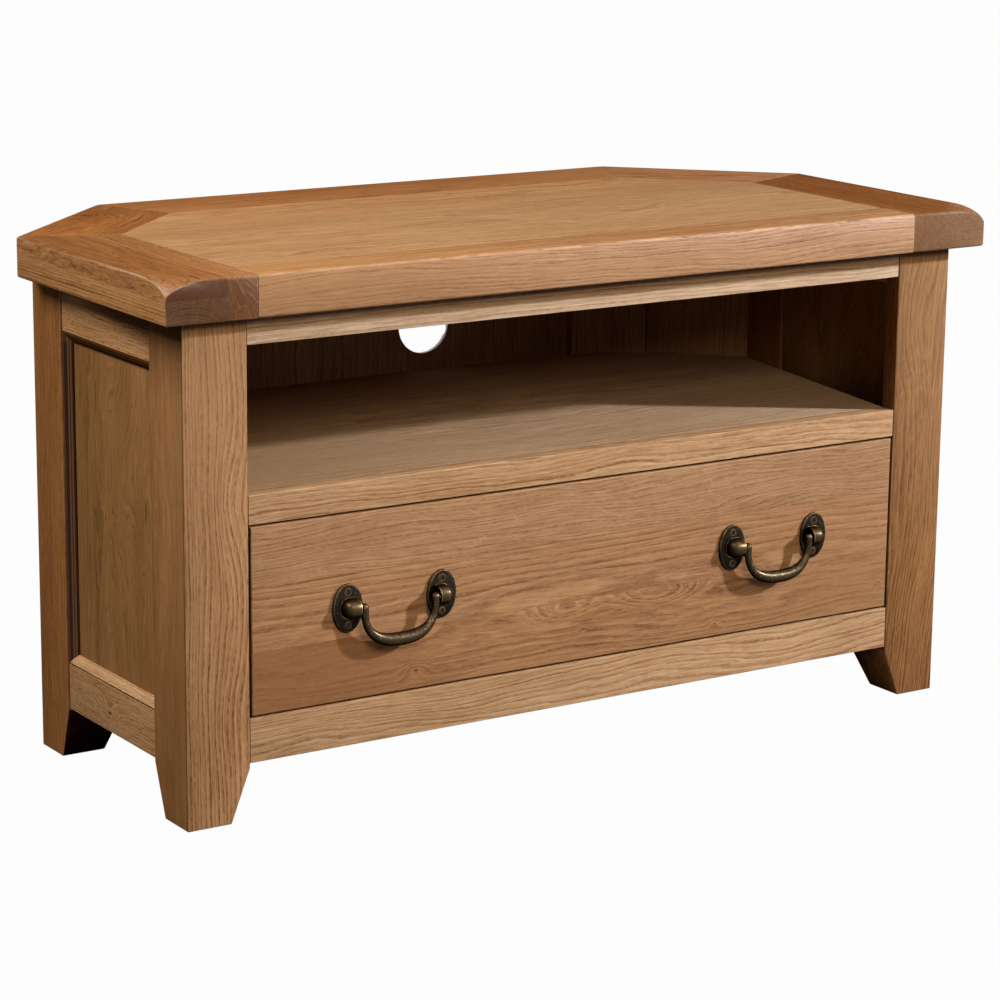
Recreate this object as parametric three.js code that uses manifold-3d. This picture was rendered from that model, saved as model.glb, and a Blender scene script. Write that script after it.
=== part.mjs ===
// Corner television cabinet in oak: a framed, mitred top on six legs, an open compartment above one wide
// drawer, frame-and-panel sides, and a back that is cut off at 45 degrees on both sides to fit a corner.
// Millimetres, +Z up, X across the front, Y from the front edge of the top towards the back.
import * as THREE from 'three';
import { mergeVertices } from 'three/addons/utils/BufferGeometryUtils.js';
import Module from 'manifold-3d';

const wasm = await Module();
wasm.setup();

// Overall sizes
const topWidth = 1050;
const topDepth = 515;
const topCornerCutWidth = 177.5;
const topCornerCutDepth = 173;
const cabinetHeight = 575;
const topOverhang = 30;

// Top
const topThickness = 44;
const centrePanelThickness = 22;
const frontBoardWidth = 61;
const endBoardWidth = 103.5;
const diagonalBoardWidth = 101;
const backBoardWidth = 99;
const topEdgeRadius = 3;
const cornerDropWidth = 42;
const cornerDropDepth = 18;

// Legs
const frontLegSetback = 24;
const legSize = 73;
const sideLegWidth = 68;
const legWall = 22;
const footToe = 51;
const footHeight = 57;
const footBlockHeight = 84.7;
const sideLegTuck = 0.5;
const backOverhang = 3;
const backPostWingWidth = 55.3;
const diagonalWingWidth = 62;
const backPostTaperWidth = 16;

// Front rails, shelf and back
const frontRailThickness = 22;
const frontRailRecess = 0.5;
const topRailRecess = 1;
const topRailHeight = 31;
const shelfHeight = 345.5;
const shelfThickness = 18;
const lippingHeight = 31;
const bottomRailTop = 109.5;
const bottomRailHeight = 47.5;
const backRailHeight = 53.7;
const panelThickness = 12;
const backPanelThickness = 6;
const diagonalPanelLift = 60;
const cableHoleRadius = 35;
const cableHoleOffset = 79.5;
const cableHoleRailDistance = 76.3;
const backBattenDepth = 20;

// Side frames
const sideRailThickness = 20;
const sideRailRecess = 2;
const sideTopRailHeight = 53.7;
const sideBottomRailTop = 110.5;
const sideBottomRailHeight = 51.5;
const sidePanelThickness = 9;
const mouldingWidth = 10.6;
const mouldingDepth = 8.3;

// Drawer and what it runs on
const drawerReveal = 2.5;
const drawerFrontThickness = 22;
const drawerFrontEdgeRadius = 2;
const drawerSideThickness = 14;
const drawerSideClearance = 2;
const drawerRearClearance = 26;
const drawerBackThickness = 14;
const drawerBottomThickness = 6;
const drawerBottomLift = 12;
const drawerGrooveDepth = 6;
const runnerThickness = 24.5;
const runnerWidth = 58;
const guideThickness = 17;
const guideHeight = 39.7;
const guideClearance = 1;
const kickerWidth = 26;
const kickerHeight = 39.9;
const kickerClearance = 2.5;
const stopLength = 80;
const stopThickness = 12;
const stopHeight = 22;
const stopRise = 8.5;

// Handles
const handleEndDistance = 170;
const plateSpacing = 115;
const handleRise = 0.4;
const plateWidth = 36;
const plateHeight = 52.6;
const plateThickness = 3;
const plateEdge = 1;
const knuckleHeight = 22;
const knuckleLength = 18;
const knuckleWall = 1.8;
const knuckleMouthDepth = 7;
const pivotStandoff = 12.5;
const pinRadius = 2.6;
const pinLength = 6;
const pinClearance = 0.6;
const bailSpan = 86.8;
const bailDrop = 38;
const bailLean = 1.5;
const bailBossRadius = 4.6;
const bailBossRise = 5.8;
const bailBossLength = 16;
const bailArmRadius = 3.9;
const bailMiddleRadius = 7.25;
const screwSpacing = 36;
const screwHeadRadius = 3.7;
const screwHeadDepth = 2.1;
const screwShankRadius = 1.9;
const screwLength = 16;
const screwTipLength = 4;

// One gap for every glued or seated joint, and one overrun for every cut
const joint = 0.3;
const overrun = 5;

// Counts of facets
const edgeSteps = 3;
const dropSteps = 10;
const roundSteps = 12;
const holeSteps = 40;
const plateSteps = 40;
const hoodSteps = 16;
const bossSteps = 4;
const bailSides = 16;
const bailSteps = 32;

const oak = (color) => new THREE.MeshStandardMaterial({ color, roughness: 0.55, metalness: 0 });
const frameOak = oak('#b07a4c');
const panelOak = oak('#bd8c5e');
const endOak = oak('#8a5a34');
const legOak = oak('#a8794f');
const railOak = oak('#c9a57d');
const drawerOak = oak('#ad7c53');
const innerOak = oak('#7c5638');
const boxTimber = oak('#c6a06c');
const antiqueBrass = new THREE.MeshStandardMaterial({ color: '#4a3f2c', roughness: 0.42, metalness: 0.9 });
const screwSteel = new THREE.MeshStandardMaterial({ color: '#3c2c1f', roughness: 0.5, metalness: 0.8 });

const sides = [['left', -1], ['right', 1]];
const cabinet = new THREE.Group();
const carcass = new THREE.Group();
const drawer = new THREE.Group();
cabinet.position.y = -topDepth / 2;
cabinet.add(carcass, drawer);

// Adds one named piece to a group.
function piece(group, name, geometry, material) {
  const mesh = new THREE.Mesh(geometry, material);
  mesh.name = name;
  group.add(mesh);
  return mesh;
}

// Adds a straight bar between two limits along each axis.
function bar(group, name, [left, right], [front, back], [low, high], material) {
  const box = new THREE.BoxGeometry(right - left, back - front, high - low);
  const mesh = piece(group, name, box, material);
  mesh.position.set((left + right) / 2, (front + back) / 2, (low + high) / 2);
}

// The limits across the cabinet of something that reaches from inner to outer on one side.
function across(sign, inner, outer) {
  return sign > 0 ? [inner, outer] : [-outer, -inner];
}

function rectangle([left, right], [low, high]) {
  return [[left, low], [right, low], [right, high], [left, high]];
}

function ellipse(halfWidth, halfHeight, steps) {
  const corners = [];
  for (let i = 0; i < steps; i++) {
    const angle = 2 * Math.PI * i / steps;
    corners.push([halfWidth * Math.cos(angle), halfHeight * Math.sin(angle)]);
  }
  return corners;
}

// Moves each edge of a convex outline, drawn anticlockwise, inwards by its own distance. Edge i starts at
// corner i, and a negative distance moves it outwards.
function inset(outline, distances) {
  const edges = outline.map(([x, y], i) => {
    const [nextX, nextY] = outline[(i + 1) % outline.length];
    const length = Math.hypot(nextX - x, nextY - y);
    const normal = [(y - nextY) / length, (nextX - x) / length];
    return { normal, reach: normal[0] * x + normal[1] * y + distances[i] };
  });
  return edges.map((edge, i) => {
    const before = edges[(i + edges.length - 1) % edges.length];
    const cross = before.normal[0] * edge.normal[1] - before.normal[1] * edge.normal[0];
    const x = (before.reach * edge.normal[1] - edge.reach * before.normal[1]) / cross;
    const y = (edge.reach * before.normal[0] - before.reach * edge.normal[0]) / cross;
    return [x, y];
  });
}

function insetAll(outline, distance) {
  return inset(outline, outline.map(() => distance));
}

const upright = (x, y, z) => [x, y, z];

// A closed solid through outlines with the same number of corners. Each level has its outline and its
// height, and place() turns (u, v, height) into a point. Both ends are capped.
function loft(levels, place = upright) {
  const count = levels[0].outline.length;
  const flattened = (outline) => outline.map(([u, v]) => new THREE.Vector2(u, v));
  const turned = THREE.ShapeUtils.isClockWise(flattened(levels[0].outline));
  const outlines = levels.map(({ outline }) => (turned ? [...outline].reverse() : outline));
  const points = levels.flatMap(({ at }, k) => outlines[k].flatMap(([u, v]) => place(u, v, at)));
  const faces = [];
  for (let k = 0; k + 1 < levels.length; k++) {
    for (let i = 0; i < count; i++) {
      const a = k * count + i;
      const b = k * count + (i + 1) % count;
      faces.push([a, b, b + count], [a, b + count, a + count]);
    }
  }
  const last = (levels.length - 1) * count;
  const cap = (outline) => THREE.ShapeUtils.triangulateShape(flattened(outline), []);
  cap(outlines[0]).forEach(([a, b, c]) => faces.push([c, b, a]));
  cap(outlines[levels.length - 1]).forEach(([a, b, c]) => faces.push([last + a, last + b, last + c]));
  const corner = (i) => new THREE.Vector3().fromArray(points, 3 * i);
  const volume = faces.reduce((sum, [a, b, c]) => sum + corner(a).dot(corner(b).cross(corner(c))), 0);
  const index = faces.flatMap(([a, b, c]) => (volume > 0 ? [a, b, c] : [a, c, b]));
  const geometry = new THREE.BufferGeometry();
  geometry.setAttribute('position', new THREE.Float32BufferAttribute(points, 3));
  geometry.setIndex(index);
  geometry.computeVertexNormals();
  return geometry;
}

// A straight prism on an outline, between two heights.
function prism(outline, [low, high], place = upright) {
  return loft([{ at: low, outline }, { at: high, outline }], place);
}

function block([left, right], [front, back], heights) {
  return prism(rectangle([left, right], [front, back]), heights);
}

// Geometry into a solid that can be cut and joined, and back again.
function solid(geometry) {
  const bare = geometry.clone();
  bare.deleteAttribute('normal');
  bare.deleteAttribute('uv');
  const merged = mergeVertices(bare);
  return new wasm.Manifold(new wasm.Mesh({
    numProp: 3,
    vertProperties: new Float32Array(merged.attributes.position.array),
    triVerts: new Uint32Array(merged.index.array),
  }));
}

function shaped(body) {
  const mesh = body.getMesh();
  const geometry = new THREE.BufferGeometry();
  geometry.setAttribute('position', new THREE.Float32BufferAttribute(mesh.vertProperties, 3));
  geometry.setIndex(Array.from(mesh.triVerts));
  geometry.computeVertexNormals();
  return geometry;
}

// Plan of the top, anticlockwise from the front left corner. Its edges are the front, the right end, the
// right diagonal, the back, the left diagonal and the left end.
const halfTop = topWidth / 2;
const halfBack = halfTop - topCornerCutWidth;
const topSideDepth = topDepth - topCornerCutDepth;
const plan = [
  [-halfTop, 0],
  [halfTop, 0],
  [halfTop, topSideDepth],
  [halfBack, topDepth],
  [-halfBack, topDepth],
  [-halfTop, topSideDepth],
];
const topUnderside = cabinetHeight - topThickness;
const carcassTop = topUnderside - joint;

// The right diagonal in plan: its direction towards the back, the direction into the cabinet, and points
// on a line that lies a given distance inside it.
const diagonalLength = Math.hypot(halfTop - halfBack, topDepth - topSideDepth);
const along = [(halfBack - halfTop) / diagonalLength, (topDepth - topSideDepth) / diagonalLength];
const inward = [-along[1], along[0]];

function diagonalPoint(inside, run) {
  return [
    halfTop + inward[0] * inside + along[0] * run,
    topSideDepth + inward[1] * inside + along[1] * run,
  ];
}

function diagonalAtDepth(inside, depth) {
  const [, start] = diagonalPoint(inside, 0);
  return diagonalPoint(inside, (depth - start) / along[1]);
}

function diagonalAtWidth(inside, width) {
  const [start] = diagonalPoint(inside, 0);
  return diagonalPoint(inside, (width - start) / along[0]);
}

// Mirrors an outline of the right side to the side that is being built.
function mirrored(sign, outline) {
  return outline.map(([x, y]) => [sign * x, y]);
}

// Top: seven boards cut from one slab with rounded edges, so that the edge runs through their joints. The
// two front corners are rubbed down, most at the corner itself.
function roundedSlab() {
  const levels = [];
  for (let k = 0; k <= edgeSteps; k++) {
    const angle = (Math.PI / 2) * k / edgeSteps;
    const back = topEdgeRadius * (1 - Math.sin(angle));
    const rise = topEdgeRadius * (1 - Math.cos(angle));
    levels.push({ at: topUnderside + rise, outline: insetAll(plan, back) });
    levels.push({ at: cabinetHeight - rise, outline: insetAll(plan, back) });
  }
  levels.sort((a, b) => a.at - b.at);
  return solid(loft(levels));
}

function cornerCut(sign) {
  const outline = [];
  for (let k = 0; k <= dropSteps; k++) {
    const angle = (Math.PI / 2) * k / dropSteps;
    outline.push([
      cornerDropWidth * (1 - Math.sin(angle)),
      cabinetHeight - cornerDropDepth * (1 - Math.cos(angle)),
    ]);
  }
  outline.push([-overrun, cabinetHeight - cornerDropDepth]);
  outline.push([-overrun, cabinetHeight + overrun]);
  outline.push([cornerDropWidth, cabinetHeight + overrun]);
  const turn = Math.SQRT1_2;
  const reach = cornerDropWidth + overrun;
  return solid(prism(outline, [-reach, reach], (inside, height, run) => [
    sign * (halfTop - turn * inside + turn * run),
    turn * inside + turn * run,
    height,
  ]));
}

const slab = sides.reduce((body, [, sign]) => body.subtract(cornerCut(sign)), roundedSlab());
const innerPlan = inset(plan, [
  frontBoardWidth,
  endBoardWidth,
  diagonalBoardWidth,
  backBoardWidth,
  diagonalBoardWidth,
  endBoardWidth,
]);
const seam = joint / 2;

// Cuts one board from the slab: inner edges stop half a joint short and outer edges run past the slab.
function topBoard(name, outline, outerEdges, low, material) {
  const distances = outline.map((_, i) => (outerEdges.includes(i) ? -overrun : seam));
  const cutter = prism(inset(outline, distances), [low, cabinetHeight + overrun]);
  piece(carcass, name, shaped(slab.intersect(solid(cutter))), material);
}

const frontSeam = halfTop - endBoardWidth;
const panelTopLow = cabinetHeight - centrePanelThickness;
topBoard('top_centre_panel', innerPlan, [], panelTopLow, panelOak);
topBoard('top_front_board', rectangle([-frontSeam, frontSeam], [0, frontBoardWidth]), [0], 0, frameOak);
topBoard('top_back_board', [innerPlan[4], innerPlan[3], plan[3], plan[4]], [2], 0, frameOak);
const rightEnd = [[frontSeam, 0], plan[1], plan[2], innerPlan[2]];
const leftEnd = [plan[0], [-frontSeam, 0], innerPlan[5], plan[5]];
topBoard('top_end_board_right', rightEnd, [0, 1], 0, endOak);
topBoard('top_end_board_left', leftEnd, [0, 3], 0, endOak);
topBoard('top_diagonal_board_right', [plan[2], plan[3], innerPlan[3], innerPlan[2]], [0], 0, endOak);
topBoard('top_diagonal_board_left', [plan[4], plan[5], innerPlan[5], innerPlan[4]], [0], 0, endOak);

// Legs. The front and side legs are square at the foot and tapered there on their two inner faces. Above
// the foot block they are rebated, so that only walls of legWall stand inside the cabinet.
const halfCarcass = halfTop - topOverhang;
const legInner = halfCarcass - legSize;
const wallInner = halfCarcass - legWall;
const frontLegBack = frontLegSetback + legSize;
const frontRailBack = frontLegSetback + legWall;
const sideLegBack = diagonalAtWidth(sideLegTuck, halfCarcass)[1];
const sideLegFront = sideLegBack - sideLegWidth;
const above = [footBlockHeight, carcassTop + overrun];

function footedLeg(sign, depths, toeDepths, rebateDepths) {
  const foot = rectangle(across(sign, legInner, halfCarcass), depths);
  const toe = rectangle(across(sign, halfCarcass - footToe, halfCarcass), toeDepths);
  const levels = [
    { at: 0, outline: toe },
    { at: footHeight, outline: foot },
    { at: carcassTop, outline: foot },
  ];
  const rebate = block(across(sign, legInner - overrun, wallInner), rebateDepths, above);
  return shaped(solid(loft(levels)).subtract(solid(rebate)));
}

for (const [side, sign] of sides) {
  const frontLeg = footedLeg(
    sign,
    [frontLegSetback, frontLegBack],
    [frontLegSetback, frontLegSetback + footToe],
    [frontRailBack, frontLegBack + overrun],
  );
  piece(carcass, `front_leg_${side}`, frontLeg, legOak);
  const sideLeg = footedLeg(
    sign,
    [sideLegFront, sideLegBack],
    [sideLegBack - footToe, sideLegBack],
    [sideLegFront - overrun, sideLegBack + overrun],
  );
  piece(carcass, `side_leg_${side}`, sideLeg, legOak);
}

// Back posts: two wings that meet at the corner between the back and the diagonal.
const backOuter = topDepth - backOverhang;
const backPostOuter = diagonalAtDepth(backOverhang, backOuter);
const postRun = (backPostOuter[1] - diagonalPoint(backOverhang, 0)[1]) / along[1];
const backWingEnd = backPostOuter[0] - backPostWingWidth;
const wingInner = backOuter - legWall;

// Outline of the right post. Grown by a gap on its inner faces and wing ends, it cuts its own notch.
function postOutline(grow, cutBack) {
  const wingEnd = backWingEnd - grow + cutBack;
  const inside = backOverhang + legWall + grow;
  const run = postRun - diagonalWingWidth - grow + cutBack;
  return [
    backPostOuter,
    [wingEnd, backOuter],
    [wingEnd, wingInner - grow],
    diagonalAtDepth(inside, wingInner - grow),
    diagonalPoint(inside, run),
    diagonalPoint(backOverhang, run),
  ];
}

for (const [side, sign] of sides) {
  const post = loft([
    { at: 0, outline: mirrored(sign, postOutline(0, backPostTaperWidth)) },
    { at: footHeight, outline: mirrored(sign, postOutline(0, 0)) },
    { at: carcassTop, outline: mirrored(sign, postOutline(0, 0)) },
  ]);
  piece(carcass, `back_post_${side}`, post, innerOak);
}

// Front: the rail under the top, the strip on the front edge of the shelf and the rail under the drawer.
const frontSpan = [-legInner + joint, legInner - joint];
const topRailLow = topUnderside - topRailHeight;
const lippingLow = shelfHeight - lippingHeight;
const bottomRailLow = bottomRailTop - bottomRailHeight;
const railFront = frontLegSetback + frontRailRecess;
const railBack = frontLegSetback + frontRailThickness;
const behindRail = railBack + joint;
const topRailDepths = [frontLegSetback + topRailRecess, railBack];
bar(carcass, 'front_top_rail', frontSpan, topRailDepths, [topRailLow, carcassTop], railOak);
bar(carcass, 'shelf_front_strip', frontSpan, [railFront, railBack], [lippingLow, shelfHeight], railOak);
bar(carcass, 'front_bottom_rail', frontSpan, [railFront, railBack], [bottomRailLow, bottomRailTop], railOak);

// Back: two rails and a panel between the posts, with a round hole for cables, and a panel on each diagonal.
const backSpan = [-backWingEnd + joint, backWingEnd - joint];
const backDepths = [wingInner, backOuter];
const backPanelFront = backOuter - panelThickness;
const backTopRailLow = topUnderside - backRailHeight;
bar(carcass, 'back_top_rail', backSpan, backDepths, [backTopRailLow, carcassTop], innerOak);
bar(carcass, 'back_bottom_rail', backSpan, backDepths, [bottomRailLow, bottomRailTop], innerOak);
const cableHole = new THREE.CylinderGeometry(
  cableHoleRadius,
  cableHoleRadius,
  panelThickness + 2 * overrun,
  holeSteps,
);
cableHole.translate(cableHoleOffset, backOuter - panelThickness / 2, backTopRailLow - cableHoleRailDistance);
const backPanelDepths = [backPanelFront, backPanelFront + backPanelThickness];
const backPanelHeights = [bottomRailTop + joint, backTopRailLow - joint];
const backPanel = block(backSpan, backPanelDepths, backPanelHeights);
piece(carcass, 'back_panel', shaped(solid(backPanel).subtract(solid(cableHole))), innerOak);

const diagonalPanelInside = backOverhang + panelThickness;
for (const [side, sign] of sides) {
  const end = postRun - diagonalWingWidth - joint;
  const outline = [
    diagonalAtDepth(backOverhang, sideLegBack + joint),
    diagonalPoint(backOverhang, end),
    diagonalPoint(diagonalPanelInside, end),
    diagonalAtDepth(diagonalPanelInside, sideLegBack + joint),
  ];
  const panel = prism(mirrored(sign, outline), [diagonalPanelLift, carcassTop]);
  piece(carcass, `diagonal_panel_${side}`, panel, innerOak);
}

// Shelf: its ends run from behind the front legs out to the side legs, and its back follows the panels and
// is notched round the posts.
const shelfLow = shelfHeight - shelfThickness;
const shelfSideCorner = diagonalAtWidth(diagonalPanelInside + joint, wallInner - joint);
const shelfBackCorner = diagonalAtDepth(diagonalPanelInside + joint, backPanelFront - joint);
const shelfPlan = [
  [-legInner + joint, behindRail],
  [legInner - joint, behindRail],
  shelfSideCorner,
  shelfBackCorner,
  [-shelfBackCorner[0], shelfBackCorner[1]],
  [-shelfSideCorner[0], shelfSideCorner[1]],
];
const notchHeights = [shelfLow - overrun, shelfHeight + overrun];
const shelf = sides.reduce(
  (body, [, sign]) => body.subtract(solid(prism(mirrored(sign, postOutline(joint, 0)), notchHeights))),
  solid(prism(shelfPlan, [shelfLow, shelfHeight])),
);
piece(carcass, 'shelf_board', shaped(shelf), panelOak);
const battenHeights = [shelfLow - joint - shelfThickness, shelfLow - joint];
const battenDepths = [backPanelFront - joint - backBattenDepth, backPanelFront - joint];
bar(carcass, 'shelf_back_batten', backSpan, battenDepths, battenHeights, innerOak);

// Sides: two rails and a thin panel between the legs, with a moulding pinned round the edge of the panel.
const sideSpan = [frontLegBack + joint, sideLegFront - joint];
const sideFace = halfCarcass - sideRailRecess;
const sideTopRailLow = topUnderside - sideTopRailHeight;
const panelFace = sideFace - mouldingDepth - joint;
const panelHeights = [sideBottomRailTop + joint, sideTopRailLow - joint];
// How far the moulding covers the panel, as shares of its width, at shares of its depth from the front.
const mouldingShares = [
  [0, 0.16],
  [0.12, 0.17],
  [0.2, 0.34],
  [0.34, 0.55],
  [0.55, 0.7],
  [0.78, 0.8],
  [0.8, 1],
];

function moulding(sign) {
  const opening = rectangle(sideSpan, panelHeights);
  const place = (depth, height, x) => [sign * x, depth, height];
  const stock = prism(opening, [sideFace - mouldingDepth, sideFace], place);
  const lip = insetAll(opening, mouldingShares[0][1] * mouldingWidth);
  const levels = [{ at: sideFace + overrun, outline: lip }];
  for (const [deep, cover] of mouldingShares) {
    const outline = insetAll(opening, cover * mouldingWidth);
    levels.push({ at: sideFace - deep * mouldingDepth, outline });
  }
  levels.push({ at: sideFace - mouldingDepth - overrun, outline: insetAll(opening, mouldingWidth) });
  return shaped(solid(stock).subtract(solid(loft(levels, place))));
}

for (const [side, sign] of sides) {
  const railLimits = across(sign, sideFace - sideRailThickness, sideFace);
  const panelLimits = across(sign, panelFace - sidePanelThickness, panelFace);
  const bottomHeights = [sideBottomRailTop - sideBottomRailHeight, sideBottomRailTop];
  bar(carcass, `side_top_rail_${side}`, railLimits, sideSpan, [sideTopRailLow, carcassTop], legOak);
  bar(carcass, `side_bottom_rail_${side}`, railLimits, sideSpan, bottomHeights, legOak);
  bar(carcass, `side_panel_${side}`, panelLimits, sideSpan, panelHeights, drawerOak);
  piece(carcass, `side_moulding_${side}`, moulding(sign), innerOak);
}

// Drawer box. Its sides slide on the runners between the guides, under the kickers.
const drawerOuter = legInner - drawerSideClearance;
const drawerInner = drawerOuter - drawerSideThickness;
const drawerFrontBack = frontLegSetback + drawerFrontThickness;
const boxFront = drawerFrontBack + joint;
const boxBack = diagonalAtWidth(diagonalPanelInside, drawerOuter)[1] - drawerRearClearance;
const boxLow = bottomRailTop + joint;
const kickerLow = shelfLow - joint - kickerHeight;
const boxHigh = kickerLow - kickerClearance;
const bottomLow = boxLow + drawerBottomLift;
const bottomHigh = bottomLow + drawerBottomThickness;
const bottomHalf = drawerInner + drawerGrooveDepth - joint;
const bottomSpan = [-bottomHalf, bottomHalf];
bar(drawer, 'drawer_bottom', bottomSpan, [boxFront, boxBack], [bottomLow, bottomHigh], boxTimber);
const boxBackDepths = [boxBack - drawerBackThickness, boxBack];
const boxBackSpan = [-drawerInner + joint, drawerInner - joint];
bar(drawer, 'drawer_back', boxBackSpan, boxBackDepths, [bottomHigh + joint, boxHigh], boxTimber);
for (const [side, sign] of sides) {
  const cheek = block(across(sign, drawerInner, drawerOuter), [boxFront, boxBack], [boxLow, boxHigh]);
  const groove = block(
    across(sign, drawerInner - overrun, drawerInner + drawerGrooveDepth),
    [boxFront - overrun, boxBack + overrun],
    [bottomLow - joint, bottomHigh + joint],
  );
  piece(drawer, `drawer_side_${side}`, shaped(solid(cheek).subtract(solid(groove))), boxTimber);
}

// What the drawer runs on: runners on the foot blocks, guides beside it, kickers above it that also carry
// the shelf, and a stop behind the front rail.
const runnerLow = footBlockHeight + joint;
const runnerHigh = runnerLow + runnerThickness;
const runnerOuter = legInner - guideClearance + guideThickness;
const kickerOuter = legInner - joint;
for (const [side, sign] of sides) {
  const runnerLimits = across(sign, runnerOuter - runnerWidth, runnerOuter);
  const behind = [behindRail, diagonalAtWidth(diagonalPanelInside, runnerOuter)[1] - joint];
  const guideHeights = [runnerHigh + joint, runnerHigh + joint + guideHeight];
  bar(carcass, `drawer_runner_${side}`, runnerLimits, behind, [runnerLow, runnerHigh], boxTimber);
  const guideLimits = across(sign, legInner - guideClearance, runnerOuter);
  bar(carcass, `drawer_guide_${side}`, guideLimits, behind, guideHeights, boxTimber);
  const kickerDepths = [behindRail, diagonalAtWidth(diagonalPanelInside, kickerOuter)[1] - joint];
  const kickerLimits = across(sign, kickerOuter - kickerWidth, kickerOuter);
  const kickerHeights = [kickerLow, kickerLow + kickerHeight];
  bar(carcass, `drawer_kicker_${side}`, kickerLimits, kickerDepths, kickerHeights, boxTimber);
}
const stopHeights = [bottomRailTop + stopRise - stopHeight, bottomRailTop + stopRise];
const stopSpan = [-stopLength / 2, stopLength / 2];
bar(carcass, 'drawer_stop', stopSpan, [behindRail, behindRail + stopThickness], stopHeights, boxTimber);

// Screws and the holes for them lie along the depth, with the head's face at the given depth.
const plateBack = frontLegSetback - joint;
const plateFace = plateBack - plateThickness;

function screwShape(gap) {
  const profile = [
    [0, -gap * overrun],
    [screwHeadRadius + gap, -gap * overrun],
    [screwHeadRadius + gap, 0],
    [screwShankRadius + gap, screwHeadDepth],
    [screwShankRadius + gap, screwLength - screwTipLength],
    [0, screwLength + gap],
  ];
  const points = profile.map(([r, z]) => new THREE.Vector2(r, z));
  const distinct = points.filter((point, i) => i === 0 || !point.equals(points[i - 1]));
  return new THREE.LatheGeometry(distinct, roundSteps);
}

// Drawer front: a plain board that fits the opening with an even reveal, rounded on its front edges and
// bored for the screws of the handles.
const frontLow = bottomRailTop + drawerReveal;
const frontHigh = lippingLow - drawerReveal;
const handleHeight = (frontLow + frontHigh) / 2 + handleRise;
const handleOffset = legInner - drawerReveal - handleEndDistance;
const handleCentres = [-handleOffset, handleOffset];
const plateCentres = handleCentres.flatMap((x) => [x - plateSpacing / 2, x + plateSpacing / 2]);
const screwPlaces = plateCentres.flatMap((x) => [
  [x, handleHeight - screwSpacing / 2],
  [x, handleHeight + screwSpacing / 2],
]);

const frontOutline = rectangle([-legInner + drawerReveal, legInner - drawerReveal], [frontLow, frontHigh]);
const frontLevels = [];
for (let k = 0; k <= edgeSteps; k++) {
  const angle = (Math.PI / 2) * k / edgeSteps;
  frontLevels.push({
    at: frontLegSetback + drawerFrontEdgeRadius * (1 - Math.cos(angle)),
    outline: insetAll(frontOutline, drawerFrontEdgeRadius * (1 - Math.sin(angle))),
  });
}
frontLevels.push({ at: drawerFrontBack, outline: frontOutline });
const frontBoard = loft(frontLevels, (x, z, y) => [x, y, z]);
const boredFront = screwPlaces.reduce((body, [x, z]) => {
  const bore = screwShape(joint);
  bore.translate(x, plateFace, z);
  return body.subtract(solid(bore));
}, solid(frontBoard));
piece(drawer, 'drawer_front', shaped(boredFront), drawerOak);

// Backplate with its hooded knuckle: an oval with a bevelled edge, and a hood that is rounded at its outer
// end and open at the other, where the end of the bail goes in.
const pivotDepth = frontLegSetback - pivotStandoff;
const mouthTop = pinRadius + pinClearance;
const hoodReach = plateBack - pivotDepth + mouthTop + knuckleWall;

// Half of a squarish oval that stands on the plate, which is its flat side: |y/reach|^n + |z/half|^n = 1 with
// n of hoodSquareness.
const hoodSquareness = 2.5;

function hoodOutline(reach, halfHeight, root) {
  const squared = (value) => Math.sign(value) * Math.abs(value) ** (2 / hoodSquareness);
  const outline = [[root, -halfHeight], [root, halfHeight]];
  for (let i = 1; i < hoodSteps; i++) {
    const angle = Math.PI / 2 - Math.PI * i / hoodSteps;
    outline.push([root - reach * squared(Math.cos(angle)), halfHeight * squared(Math.sin(angle))]);
  }
  return outline;
}

function hood(mouthEnd, roundEnd) {
  const levels = [{ at: mouthEnd, outline: hoodOutline(hoodReach, knuckleHeight / 2, plateBack) }];
  for (let k = 0; k <= roundSteps; k++) {
    const share = Math.sin((Math.PI / 2) * k / roundSteps);
    const swell = Math.sqrt(1 - share * share * (1 - knuckleWall / knuckleLength));
    const outline = hoodOutline(hoodReach * swell, knuckleHeight / 2 * swell, plateBack);
    levels.push({ at: roundEnd * share, outline });
  }
  return levels;
}

function backplate(towardsMiddle) {
  const plateOval = (edge) => ellipse(plateWidth / 2 - edge, plateHeight / 2 - edge, plateSteps);
  const onDrawer = (u, z, y) => [u, y, z];
  const plate = solid(loft([
    { at: plateBack, outline: plateOval(0) },
    { at: plateFace + plateEdge, outline: plateOval(0) },
    { at: plateFace, outline: plateOval(plateEdge) },
  ], onDrawer));
  const sideways = (y, z, u) => [-towardsMiddle * u, y, z];
  const half = knuckleLength / 2;
  const mouthReach = hoodReach - plateThickness - knuckleWall;
  const mouthOutline = hoodOutline(mouthReach, knuckleHeight / 2 - knuckleWall, plateFace);
  const mouth = prism(mouthOutline, [-half - overrun, -half + knuckleMouthDepth], sideways);
  const hooded = plate.add(solid(loft(hood(-half, half), sideways))).subtract(solid(mouth));
  return [-1, 1].reduce((body, sign) => {
    const bore = screwShape(joint);
    bore.translate(0, plateFace, sign * screwSpacing / 2);
    return body.subtract(solid(bore));
  }, hooded);
}

// Bail: arms that hang from round bosses beside the two hoods, a bottom that swells to the grip, and a pin
// from each boss into its hood. The middle line is a rounded U, |u/half|^n + |z/drop|^n = 1 with n of
// bailSquareness, and it leans away from the drawer as it drops.
const bailSquareness = 2.6;
const pinInner = plateSpacing / 2 - knuckleLength / 2;
const armHalf = bailSpan / 2;

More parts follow.
